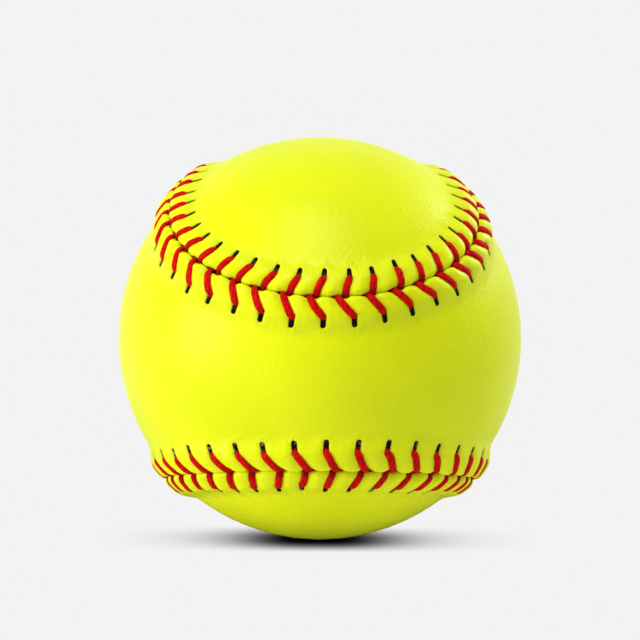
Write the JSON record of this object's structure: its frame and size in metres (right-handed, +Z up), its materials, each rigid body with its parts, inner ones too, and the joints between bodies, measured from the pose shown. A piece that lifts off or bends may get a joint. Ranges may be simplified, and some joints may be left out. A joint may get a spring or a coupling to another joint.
{
  "type": "softball",
  "caption": "Twelve-inch optic-yellow softball: moulded core, cement coat and two figure-eight leather panels laced together along a raised seam with red thread.",
  "frame": {"origin": "centre of the ball", "axes": "+Z up, +Y along the seam's twofold axis from the front panel's waist to the rear panel's waist, +X to the right as seen from the front"},
  "size_m": [0.097, 0.097, 0.097],
  "materials": {
    "core": "moulded closed-cell polyurethane",
    "cement": "dried contact cement",
    "leather": "optic yellow, fine pebble grain, satin",
    "thread": "waxed red twisted cotton"
  },
  "bodies": {
    "root": {"moulded_core": "core", "cement_coat": "cement", "rear_cover_panel": "leather", "front_cover_panel": "leather", "first_lacing_thread": "thread", "second_lacing_thread": "thread"}
  },
  "joints": []
}
